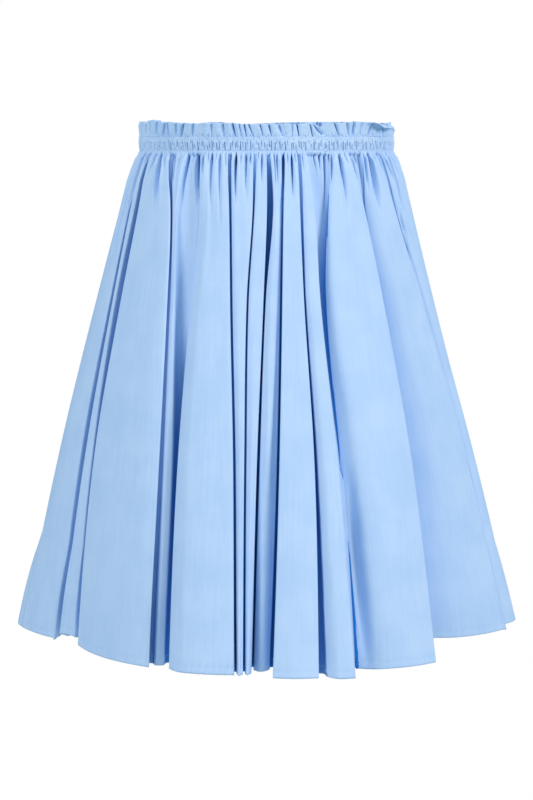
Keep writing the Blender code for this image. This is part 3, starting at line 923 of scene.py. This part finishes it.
# The hem's topstitching: a row of short lockstitches in matching polyester thread, 7.7 mm above
# the edge. Each stitch dips into the cloth at both ends.

STITCH_LENGTH = 0.0026
STITCH_STEP = 0.0031
STITCH_RADIUS = 0.00022
STITCH_STAND = 0.00010
TWIST_MM = 0.6


def sewing_thread():
    """Core-spun polyester, twisted: a little glossier than the cloth."""
    material = new_material("polyester_thread")
    space = add_node(material, "TexCoord", output="Object")
    twist = add_node(material, "TexNoise", {},
                     {"Vector": space, "Scale": 1000 / TWIST_MM, "Detail": 1.0})
    colour = mixed(material, twist, linear("#B4D2F8"), linear("#C6DEFC"))
    return finish(material, {"Base Color": colour, "Roughness": 0.5, "Specular IOR Level": 0.4})


def stitch_places(line):
    """Where each stitch lies along a line of points with outward directions."""
    size = Matrix.Diagonal((STITCH_LENGTH / 2, STITCH_RADIUS, STITCH_RADIUS, 1.0))
    places = []
    left = 0.0
    for (here, out), (there, _) in zip(line, line[1:]):
        span = (there - here).length
        while left < span:
            middle = here.lerp(there, left / span) + out * STITCH_STAND
            along = (there - here).normalized()
            up = out.cross(along).normalized()
            turn = Matrix((along, up, out)).transposed().to_4x4()
            places.append(Matrix.Translation(middle) @ turn @ size)
            left += STITCH_STEP
        left -= span
    return places


def stitches(name, lines):
    """A rounded stitch in each of its places along the lines."""
    places = [place for line in lines for place in stitch_places(line)]
    bm = bmesh.new()
    bmesh.ops.create_uvsphere(bm, u_segments=6, v_segments=4, radius=1.0)
    bm.verts.index_update()
    corners = [vertex.co.copy() for vertex in bm.verts]
    sides = [[vertex.index for vertex in face.verts] for face in bm.faces]
    bm.free()
    points = [place @ corner for place in places for corner in corners]
    faces = []
    for k in range(len(places)):
        faces += [[k * len(corners) + i for i in side] for side in sides]
    mesh = bpy.data.meshes.new(name)
    mesh.from_pydata(points, [], faces)
    mesh.shade_smooth()
    return add_object(name, mesh)


def outward_line(points):
    """Points with the level direction that faces out of the cloth at each."""
    line = []
    for i, point in enumerate(points):
        tangent = points[min(i + 1, len(points) - 1)] - points[max(i - 1, 0)]
        out = Vector((tangent.y, -tangent.x, 0.0)).normalized()
        line.append((point + out * PANEL_THICKNESS / 2, out))
    return line


thread = sewing_thread()
stitch_drop = min(PANEL_DROPS, key=lambda drop: abs(drop - (SKIRT_LENGTH - HEM_STITCH_UP)))
for side in ("front", "back"):
    row = panel_rows(side, [stitch_drop])[0]
    sewn = stitches(f"hem_stitches_{side}", [outward_line([entry[0] for entry in row])])
    sewn.data.materials.append(thread)
    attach(sewn, "root")


# The elastic channel: the poplin folded over a 12 mm elastic and stitched above and below it.
# The elastic draws it into a close run of small slits between the two rows of stitches.

# Columns and bands of each half of the channel
CHANNEL_COLUMNS = 1400
CHANNEL_BANDS = 20
CHANNEL_THICKNESS = 0.0010
CHANNEL_PUFF = 0.0007
CHANNEL_EDGE = 0.0006
CHANNEL_ROWS = (0.05, 0.80)
ROW_PRESS = 0.0004
ROW_PRESS_SHARE = 0.06
SLIT_GAIN = 2.5
SLIT_STRETCH = 1.25
SLITS_FROM = 0.0012
SLIT_SKIP = 7
SLIT_WINDOW = 0.006
# From this share of the height on, the cloth dips and crumples into the heading
HEAD_FROM = 0.86
HEAD_DIP = 0.0002
HEAD_WAVE = (1500, 310, 2)
HEAD_WAVE_SIZE = 0.0007
CHANNEL_WAVE = (1300, 190, 2.4)
CHANNEL_WAVE_SIZE = 0.0003
CHANNEL_WAVE_LEAN = -5
# Slits in turn: the way to the next one, depth and half width in mm, the slant in mm, and the
# shares of the channel's height between which it runs
Slit = namedtuple("Slit", "step depth half_width slant low high")
SLITS = [Slit(*row) for row in (
    (2.6, 1.6, 0.60, -0.6, 0.12, 0.70), (1.9, 1.0, 0.55, -1.2, 0.30, 0.66),
    (2.2, 2.0, 0.55, -0.4, 0.10, 0.62), (1.6, 0.9, 0.50, -1.6, 0.50, 0.76),
    (3.1, 1.8, 0.60, -0.8, 0.14, 0.74), (1.8, 1.2, 0.50, 0.7, 0.22, 0.50),
    (2.4, 2.0, 0.65, -1.4, 0.08, 0.66), (1.7, 0.8, 0.50, -1.9, 0.44, 0.78),
    (2.7, 1.5, 0.55, -0.7, 0.10, 0.56), (2.0, 1.8, 0.55, 0.6, 0.34, 0.74),
    (3.4, 1.2, 0.60, -1.1, 0.18, 0.60), (1.5, 1.4, 0.50, -0.3, 0.12, 0.44),
    (2.3, 1.7, 0.55, -1.8, 0.26, 0.72),
)]


def waist_arc(side, count):
    """Points and outward directions round one half of the waist, with the way to each."""
    start = -90 if side == "front" else 90
    found = []
    way = 0.0
    for i in range(count + 1):
        point = on_outline(start + 180 * i / count, 1.0, 0.0)
        if found:
            way += (point - found[-1][0]).length
        found.append((point, -inward_at(point, 0.0), way))
    return found


def window(share, low, high, soft=0.07):
    """1 between low and high, falling softly to 0 outside them."""
    return ease((share - low) / soft + 0.5) * ease((high - share) / soft + 0.5)


def with_openness(row):
    """The row with each point's openness added to it."""
    opened = openness([point for point, _ in row], OPEN_REACH // 3)
    return [(*entry, share) for entry, share in zip(row, opened)]


def slit_places(length):
    """Every slit's place along the channel, and the slits with their places."""
    found = []
    way = SLITS_FROM
    while way < length:
        found.append((way, SLITS[(len(found) + len(found) // SLIT_SKIP) % len(SLITS)]))
        way += MM * SLIT_STRETCH * SLITS[(len(found) - 1) % len(SLITS)].step
    return [way for way, _ in found], found


def waist_spot(point, way, height):
    """A place at this height over a point of the waist, and its place on the cloth."""
    return Vector((point.x, point.y, height)), (way, SKIRT_LENGTH + height)


def channel_sheet_rows(side):
    arc = waist_arc(side, CHANNEL_COLUMNS)
    ways, slits = slit_places(arc[-1][2])
    rows = []
    for band in range(CHANNEL_BANDS + 1):
        share = 1 - band / CHANNEL_BANDS
        puff = CHANNEL_PUFF * math.sin(math.pi * share) ** 0.5 - CHANNEL_EDGE * (1 - share) ** 2
        for place in CHANNEL_ROWS:
            puff -= ROW_PRESS * math.exp(-((share - place) / ROW_PRESS_SHARE) ** 2)
        head = max(0.0, share - HEAD_FROM) / (1 - HEAD_FROM)
        row = []
        for point, out, way in arc:
            stand = puff
            for start, slit in near(slits, ways, way, SLIT_WINDOW):
                away = (way - start) / MM - slit.slant * (share - 0.5)
                cut = SLIT_GAIN * slit.depth * math.exp(-((away / slit.half_width) ** 2))
                stand -= MM * cut * window(share, slit.low, slit.high)
            stand -= head * (HEAD_DIP + HEAD_WAVE_SIZE * uneven_wave(way, *HEAD_WAVE))
            stand += CHANNEL_WAVE_SIZE * uneven_wave(way, *CHANNEL_WAVE, CHANNEL_WAVE_LEAN * share)
            row.append(waist_spot(point + out * stand, way, (share - 0.5) * CHANNEL_HEIGHT))
        rows.append(with_openness(row))
    return rows


# The same poplin, crushed by the elastic into small creases
gathered_poplin = poplin("gathered_poplin", "#C6DEFD", "#B6D4F9", 0.0012, 3)

for side in ("front", "back"):
    rows = channel_sheet_rows(side)
    channel = cloth_sheet(f"elastic_channel_{side}", rows, CHANNEL_THICKNESS)
    channel.data.materials.append(gathered_poplin)
    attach(channel, "root")
    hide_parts(f"channel_{side}")
    lines = []
    band = round((1 - CHANNEL_ROWS[1]) * CHANNEL_BANDS)
    for row in (panel_rows(side, [0.0])[0], rows[band]):
        lines.append(outward_line([entry[0] for entry in row]))
    sewn = stitches(f"channel_stitches_{side}", lines)
    sewn.data.materials.append(thread)
    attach(sewn, "root")


# The ruffled heading: the folded edge of the cloth above the elastic, 16 mm tall and doubled. It
# stands in plain stretches between sharp creases, and at the front's right end it flops outwards.

RUFFLE_COLUMNS = 1000
RUFFLE_BANDS = 16
RUFFLE_THICKNESS = 0.0008
RUFFLE_GAIN = 3.1
RUFFLE_SHARPNESS = 0.85
RUFFLE_CUT = 4
RUFFLE_POWER = 1.5
RUFFLE_SOFT = 0.2
# Creases are deepest at the top, with this share of the depth left at the foot
RUFFLE_AT_FOOT = 0.25
LEAN_POWER = 1.5
# The elastic's small slits run on into the foot of the ruffle: from where, how far at least, how
# much further for each share that they start above the channel's edge, and how softly they end
FOOT_FROM = 0.03
FOOT_LEAST = 0.09
FOOT_FURTHER = 0.54
FOOT_SOFT = 0.12
FOOT_WINDOW = 0.003
FOOT_SLANT_FROM = 0.3
# place is the share of the half width at the top and at the foot of the crease, depth and
# half_width are in mm, and low is the share of the height down to which it runs
RuffleCrease = namedtuple("RuffleCrease", "top foot depth half_width low", defaults=(0.0,))
FRONT_RUFFLE = [RuffleCrease(*row) for row in (
    (-0.975, -0.985, 2.0, 2.0, 0.1), (-0.937, -0.954, 2.6, 1.6, 0.1),
    (-0.900, -0.910, 1.6, 1.4, 0.3), (-0.844, -0.861, 2.6, 1.8, 0.1), (-0.779, -0.804, 3.2, 1.4),
    (-0.760, -0.755, 1.6, 1.0), (-0.696, -0.696, 2.0, 1.2), (-0.636, -0.656, 3.4, 1.5),
    (-0.562, -0.562, 2.0, 1.8, 0.1), (-0.418, -0.414, 1.2, 1.2), (-0.333, -0.318, 2.0, 1.8),
    (-0.260, -0.233, 3.2, 1.6), (-0.210, -0.187, 1.8, 1.0), (-0.172, -0.149, 2.8, 1.3),
    (-0.138, -0.096, 2.4, 1.2), (-0.050, -0.023, 2.2, 1.2), (0.019, 0.042, 3.0, 1.5),
    (0.096, 0.126, 3.0, 3.0), (0.195, 0.199, 1.4, 1.4), (0.233, 0.249, 3.2, 1.4),
    (0.333, 0.353, 3.2, 1.4), (0.356, 0.449, 3.0, 2.6, 0.2), (0.519, 0.558, 2.8, 1.4),
    (0.621, 0.628, 2.2, 2.0), (0.672, 0.656, 2.6, 1.8), (0.731, 0.707, 1.4, 1.8),
    (0.820, 0.779, 2.8, 1.6), (0.900, 0.905, 2.4, 1.8), (0.965, 0.960, 2.0, 1.6),
)]
# Where the creases of the back start and end, in metres from the side seams, and what they take
# in turn: the way to the next one, slant, depth and half width, all in mm
BACK_RUFFLE_FROM = 0.004
BACK_RUFFLE_END = 0.003
BACK_RUFFLE = (
    (9, 6, 12, 7, 15, 5, 8, 11, 6, 14),
    (2.0, -1.0, 3.0, 0.5, -2.5, 1.5),
    (3.0, 1.8, 2.6, 3.4, 2.0, 2.8, 1.6),
    (1.4, 1.1, 2.4, 1.5, 1.2),
)
# How far the front's edge stands above or below the even height, in mm, by share of half width
EDGE_SHARES = (-1.0, -0.982, -0.937, -0.911, -0.861, -0.828, -0.779, -0.511, -0.264, -0.203,
               0.18, 0.295, 0.364, 0.395, 0.41, 0.465, 0.566, 0.684, 0.804, 0.869, 0.911,
               0.95, 0.98, 1.0)
EDGE_RISES = (-3.0, 0.7, -1.2, 1.6, 2.4, 0.7, -0.3, -1.5, -0.8, -1.8,
              -2.4, -1.6, -2.2, -4.8, -5.2, -0.3, -1.0, 0.7, -0.6, -2.8, -4.2,
              -5.0, -6.5, -8.5)
# How far the front's edge leans outwards, in mm, by share of half width
LEAN_SHARES = (-1.0, -0.9, -0.3, 0.4, 0.8, 0.9, 0.96, 1.0)
LEANS = (0.6, 1.6, 1.5, 2.0, 1.5, 0.5, 0.3, 0.3)
# At its right end the front's edge rolls over outwards: how far round, in radians, by share of
# the half width, and the share of the height from which it rolls
ROLL_SHARES = (0.74, 0.80, 0.87, 0.93, 0.97, 1.0)
ROLLS = (0.0, 1.6, 2.9, 2.6, 1.3, 0.3)
ROLL_FROM = 0.36
# On the back it unrolls again over this way from the seam
ROLL_BLEND = 0.030
# The back's edge and lean: how far each stands, and its wave. Over RUFFLE_BLEND from the side
# seams they come from the front's.
BACK_EDGE = -0.0010
BACK_EDGE_SIZE = 0.0011
BACK_EDGE_WAVE = (61, 23, 2)
BACK_LEAN = 0.0018
BACK_LEAN_SIZE = 0.0010
BACK_LEAN_WAVE = (47, 0, 0)
RUFFLE_BLEND = 0.025
RUFFLE_WAVE = (330, 97, 2.5)
RUFFLE_WAVE_SIZE = 0.0007


def ruffle_creases(side, arc):
    """(way along at the top, at the foot, depth, half width, low) of each crease, in metres."""
    if side == "back":
        turns = in_turn(BACK_RUFFLE, BACK_RUFFLE_FROM, arc[-1][2] - BACK_RUFFLE_END)
        return [(way - slant / 2, way + slant / 2, *sizes, 0.0) for way, slant, *sizes in turns]
    found = []
    for crease in FRONT_RUFFLE:
        places = [share * OUTLINES[0].half_width for share in (crease.top, crease.foot)]
        ways = [min(arc, key=lambda spot: abs(spot[0].x - place))[2] for place in places]
        found.append((*ways, MM * crease.depth, MM * crease.half_width, crease.low))
    return found


def heading_edge(side, across, way, whole):
    """How far the edge stands above the even height and leans out, and how far round it rolls."""
    end = across if side == "front" else math.copysign(1, across)
    edge = MM * line_at(end, EDGE_SHARES, EDGE_RISES)
    lean = MM * line_at(end, LEAN_SHARES, LEANS)
    if side == "front":
        return edge, lean, line_at(across, ROLL_SHARES, ROLLS)
    plain = ease(min(way, whole - way) / RUFFLE_BLEND)
    edge = between((edge, BACK_EDGE + BACK_EDGE_SIZE * uneven_wave(way, *BACK_EDGE_WAVE)), plain)
    lean = between((lean, BACK_LEAN + BACK_LEAN_SIZE * uneven_wave(way, *BACK_LEAN_WAVE)), plain)
    return edge, lean, ROLLS[-1] * max(0.0, 1 - way / ROLL_BLEND) ** 2


def rolled(share, tall, roll):
    """How high and how far out this share of a heading lies that is so tall and rolls so far."""
    if roll < 0.01:
        return share * tall, 0.0
    # The cloth is as long as it takes for the roll's crest to stand at the edge's height
    crest = math.sin(min(roll, math.pi / 2)) / roll
    length = tall / (ROLL_FROM + (1 - ROLL_FROM) * crest)
    radius = (1 - ROLL_FROM) * length / roll
    turned = roll * max(0.0, share - ROLL_FROM) / (1 - ROLL_FROM)
    risen = min(share, ROLL_FROM) * length + radius * math.sin(turned)
    return risen, radius * (1 - math.cos(turned))


def ruffle_sheet_rows(side):
    arc = waist_arc(side, RUFFLE_COLUMNS)
    whole = arc[-1][2]
    creases = ruffle_creases(side, arc)
    ways, slits = slit_places(whole)
    half_width = OUTLINES[0].half_width
    edges = [heading_edge(side, point.x / half_width, way, whole) for point, _, way in arc]
    rows = []
    for band in range(RUFFLE_BANDS + 1):
        share = 1 - band / RUFFLE_BANDS
        row = []
        for (point, out, way), (edge, lean, roll) in zip(arc, edges):
            stand = lean * share**LEAN_POWER
            for top, foot, depth, half, low in creases:
                away = abs(way - foot - (top - foot) * share) / (RUFFLE_SHARPNESS * half)
                if away < RUFFLE_CUT:
                    cut = RUFFLE_GAIN * depth * between((RUFFLE_AT_FOOT, 1), share)
                    cut *= window(share, low, 1 + RUFFLE_SOFT, RUFFLE_SOFT)
                    stand -= cut * math.exp(-(away**RUFFLE_POWER))
            stand += RUFFLE_WAVE_SIZE * share * uneven_wave(way, *RUFFLE_WAVE)
            for start, slit in near(slits, ways, way, FOOT_WINDOW):
                away = (way - start) / MM - slit.slant * (share + FOOT_SLANT_FROM)
                cut = MM * slit.depth * math.exp(-((away / slit.half_width) ** 2))
                high = FOOT_LEAST + FOOT_FURTHER * slit.low
                stand -= cut * window(share, FOOT_FROM, high, FOOT_SOFT)
            risen, turned_out = rolled(share, RUFFLE_HEIGHT + edge, roll)
            place = point + out * (stand + turned_out)
            row.append(waist_spot(place, way, CHANNEL_HEIGHT / 2 + risen))
        rows.append(with_openness(row))
    return rows


# The doubled poplin of the heading, lightly crushed
heading_poplin = poplin("heading_poplin", "#C4DDFC", "#B4D4F9", 0.0010, 5)

for side in ("front", "back"):
    heading = cloth_sheet(f"heading_{side}", ruffle_sheet_rows(side), RUFFLE_THICKNESS)
    heading.data.materials.append(heading_poplin)
    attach(heading, "root")
    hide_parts(f"ruffle_{side}")


# The studio: a pale floor well below the hem, white all round, two broad soft lights in front and
# one above. The camera looks from the height of the waist, slightly down.

FLOOR_HEIGHT = -1.0
FLOOR_RADIUS = 0.8
CAMERA_PLACE = (0.0, -2.65, 0.0235)
CAMERA_PITCH = math.degrees(math.atan(278 / 2400))
CAMERA_LENS = 108
# The soft lights are a little warm
LIGHT_COLOUR = (1.0, 0.88, 0.85)
# name, place, aimed at, width, watts
LIGHTS = (
    ("right_softbox", (2.4, -1.6, 1.1), (0.0, 0.0, -0.25), 0.9, 59),
    ("left_softbox", (-2.1, -1.8, 1.0), (0.0, 0.0, -0.25), 1.2, 41),
    ("top_softbox", (0.0, -1.3, 1.5), (0.0, 0.0, -0.1), 0.9, 4),
    ("rear_softbox", (0.3, 2.4, 1.2), (0.0, 0.0, -0.25), 1.5, 24),
)

bm = bmesh.new()
bmesh.ops.create_circle(bm, cap_ends=True, segments=96, radius=FLOOR_RADIUS)
bmesh.ops.translate(bm, verts=bm.verts, vec=(0.0, 0.0, FLOOR_HEIGHT))
floor_mesh = bpy.data.meshes.new("floor")
bm.to_mesh(floor_mesh)
bm.free()
paint = {"Base Color": linear("#F4F4F2"), "Roughness": 0.9}
floor_mesh.materials.append(finish(new_material("matt_white_paint"), paint))
floor = add_object("floor", floor_mesh)

for name, place, target, width, watts in LIGHTS:
    lamp = bpy.data.lights.new(name, "AREA")
    lamp.shape = "SQUARE"
    lamp.size = width
    lamp.energy = watts
    lamp.color = LIGHT_COLOUR
    light = add_object(name, lamp)
    light.location = place
    light.rotation_mode = "QUATERNION"
    light.rotation_quaternion = (Vector(target) - Vector(place)).to_track_quat("-Z", "Y")

world = bpy.data.worlds.new("studio")
bpy.context.scene.world = world
world.use_nodes = True
world.node_tree.nodes.clear()
AMBIENT = 0.415
# The light that the white room throws back is a little blue, as the cloth is
AMBIENT_COLOUR = (0.62, 0.94, 1.02, 1.0)
seen = add_node(world, "LightPath", output="Is Camera Ray")
tone = mixed(world, seen, AMBIENT_COLOUR, (1.0, 1.0, 1.0, 1.0))
strength = add_node(world, "MapRange", {}, {"Value": seen, "To Min": AMBIENT, "To Max": 1.0})
glow = add_node(world, "Background", {}, {"Color": tone, "Strength": strength})
add_node(world, "OutputWorld", {}, {"Surface": glow})
bpy.context.scene.view_settings.view_transform = "Standard"

camera_data = bpy.data.cameras.new("camera")
camera_data.lens = CAMERA_LENS
camera_data.sensor_width = 36
camera = add_object("camera", camera_data)
camera.location = CAMERA_PLACE
camera.rotation_euler = (math.radians(90 - CAMERA_PITCH), 0.0, 0.0)
bpy.context.scene.camera = camera
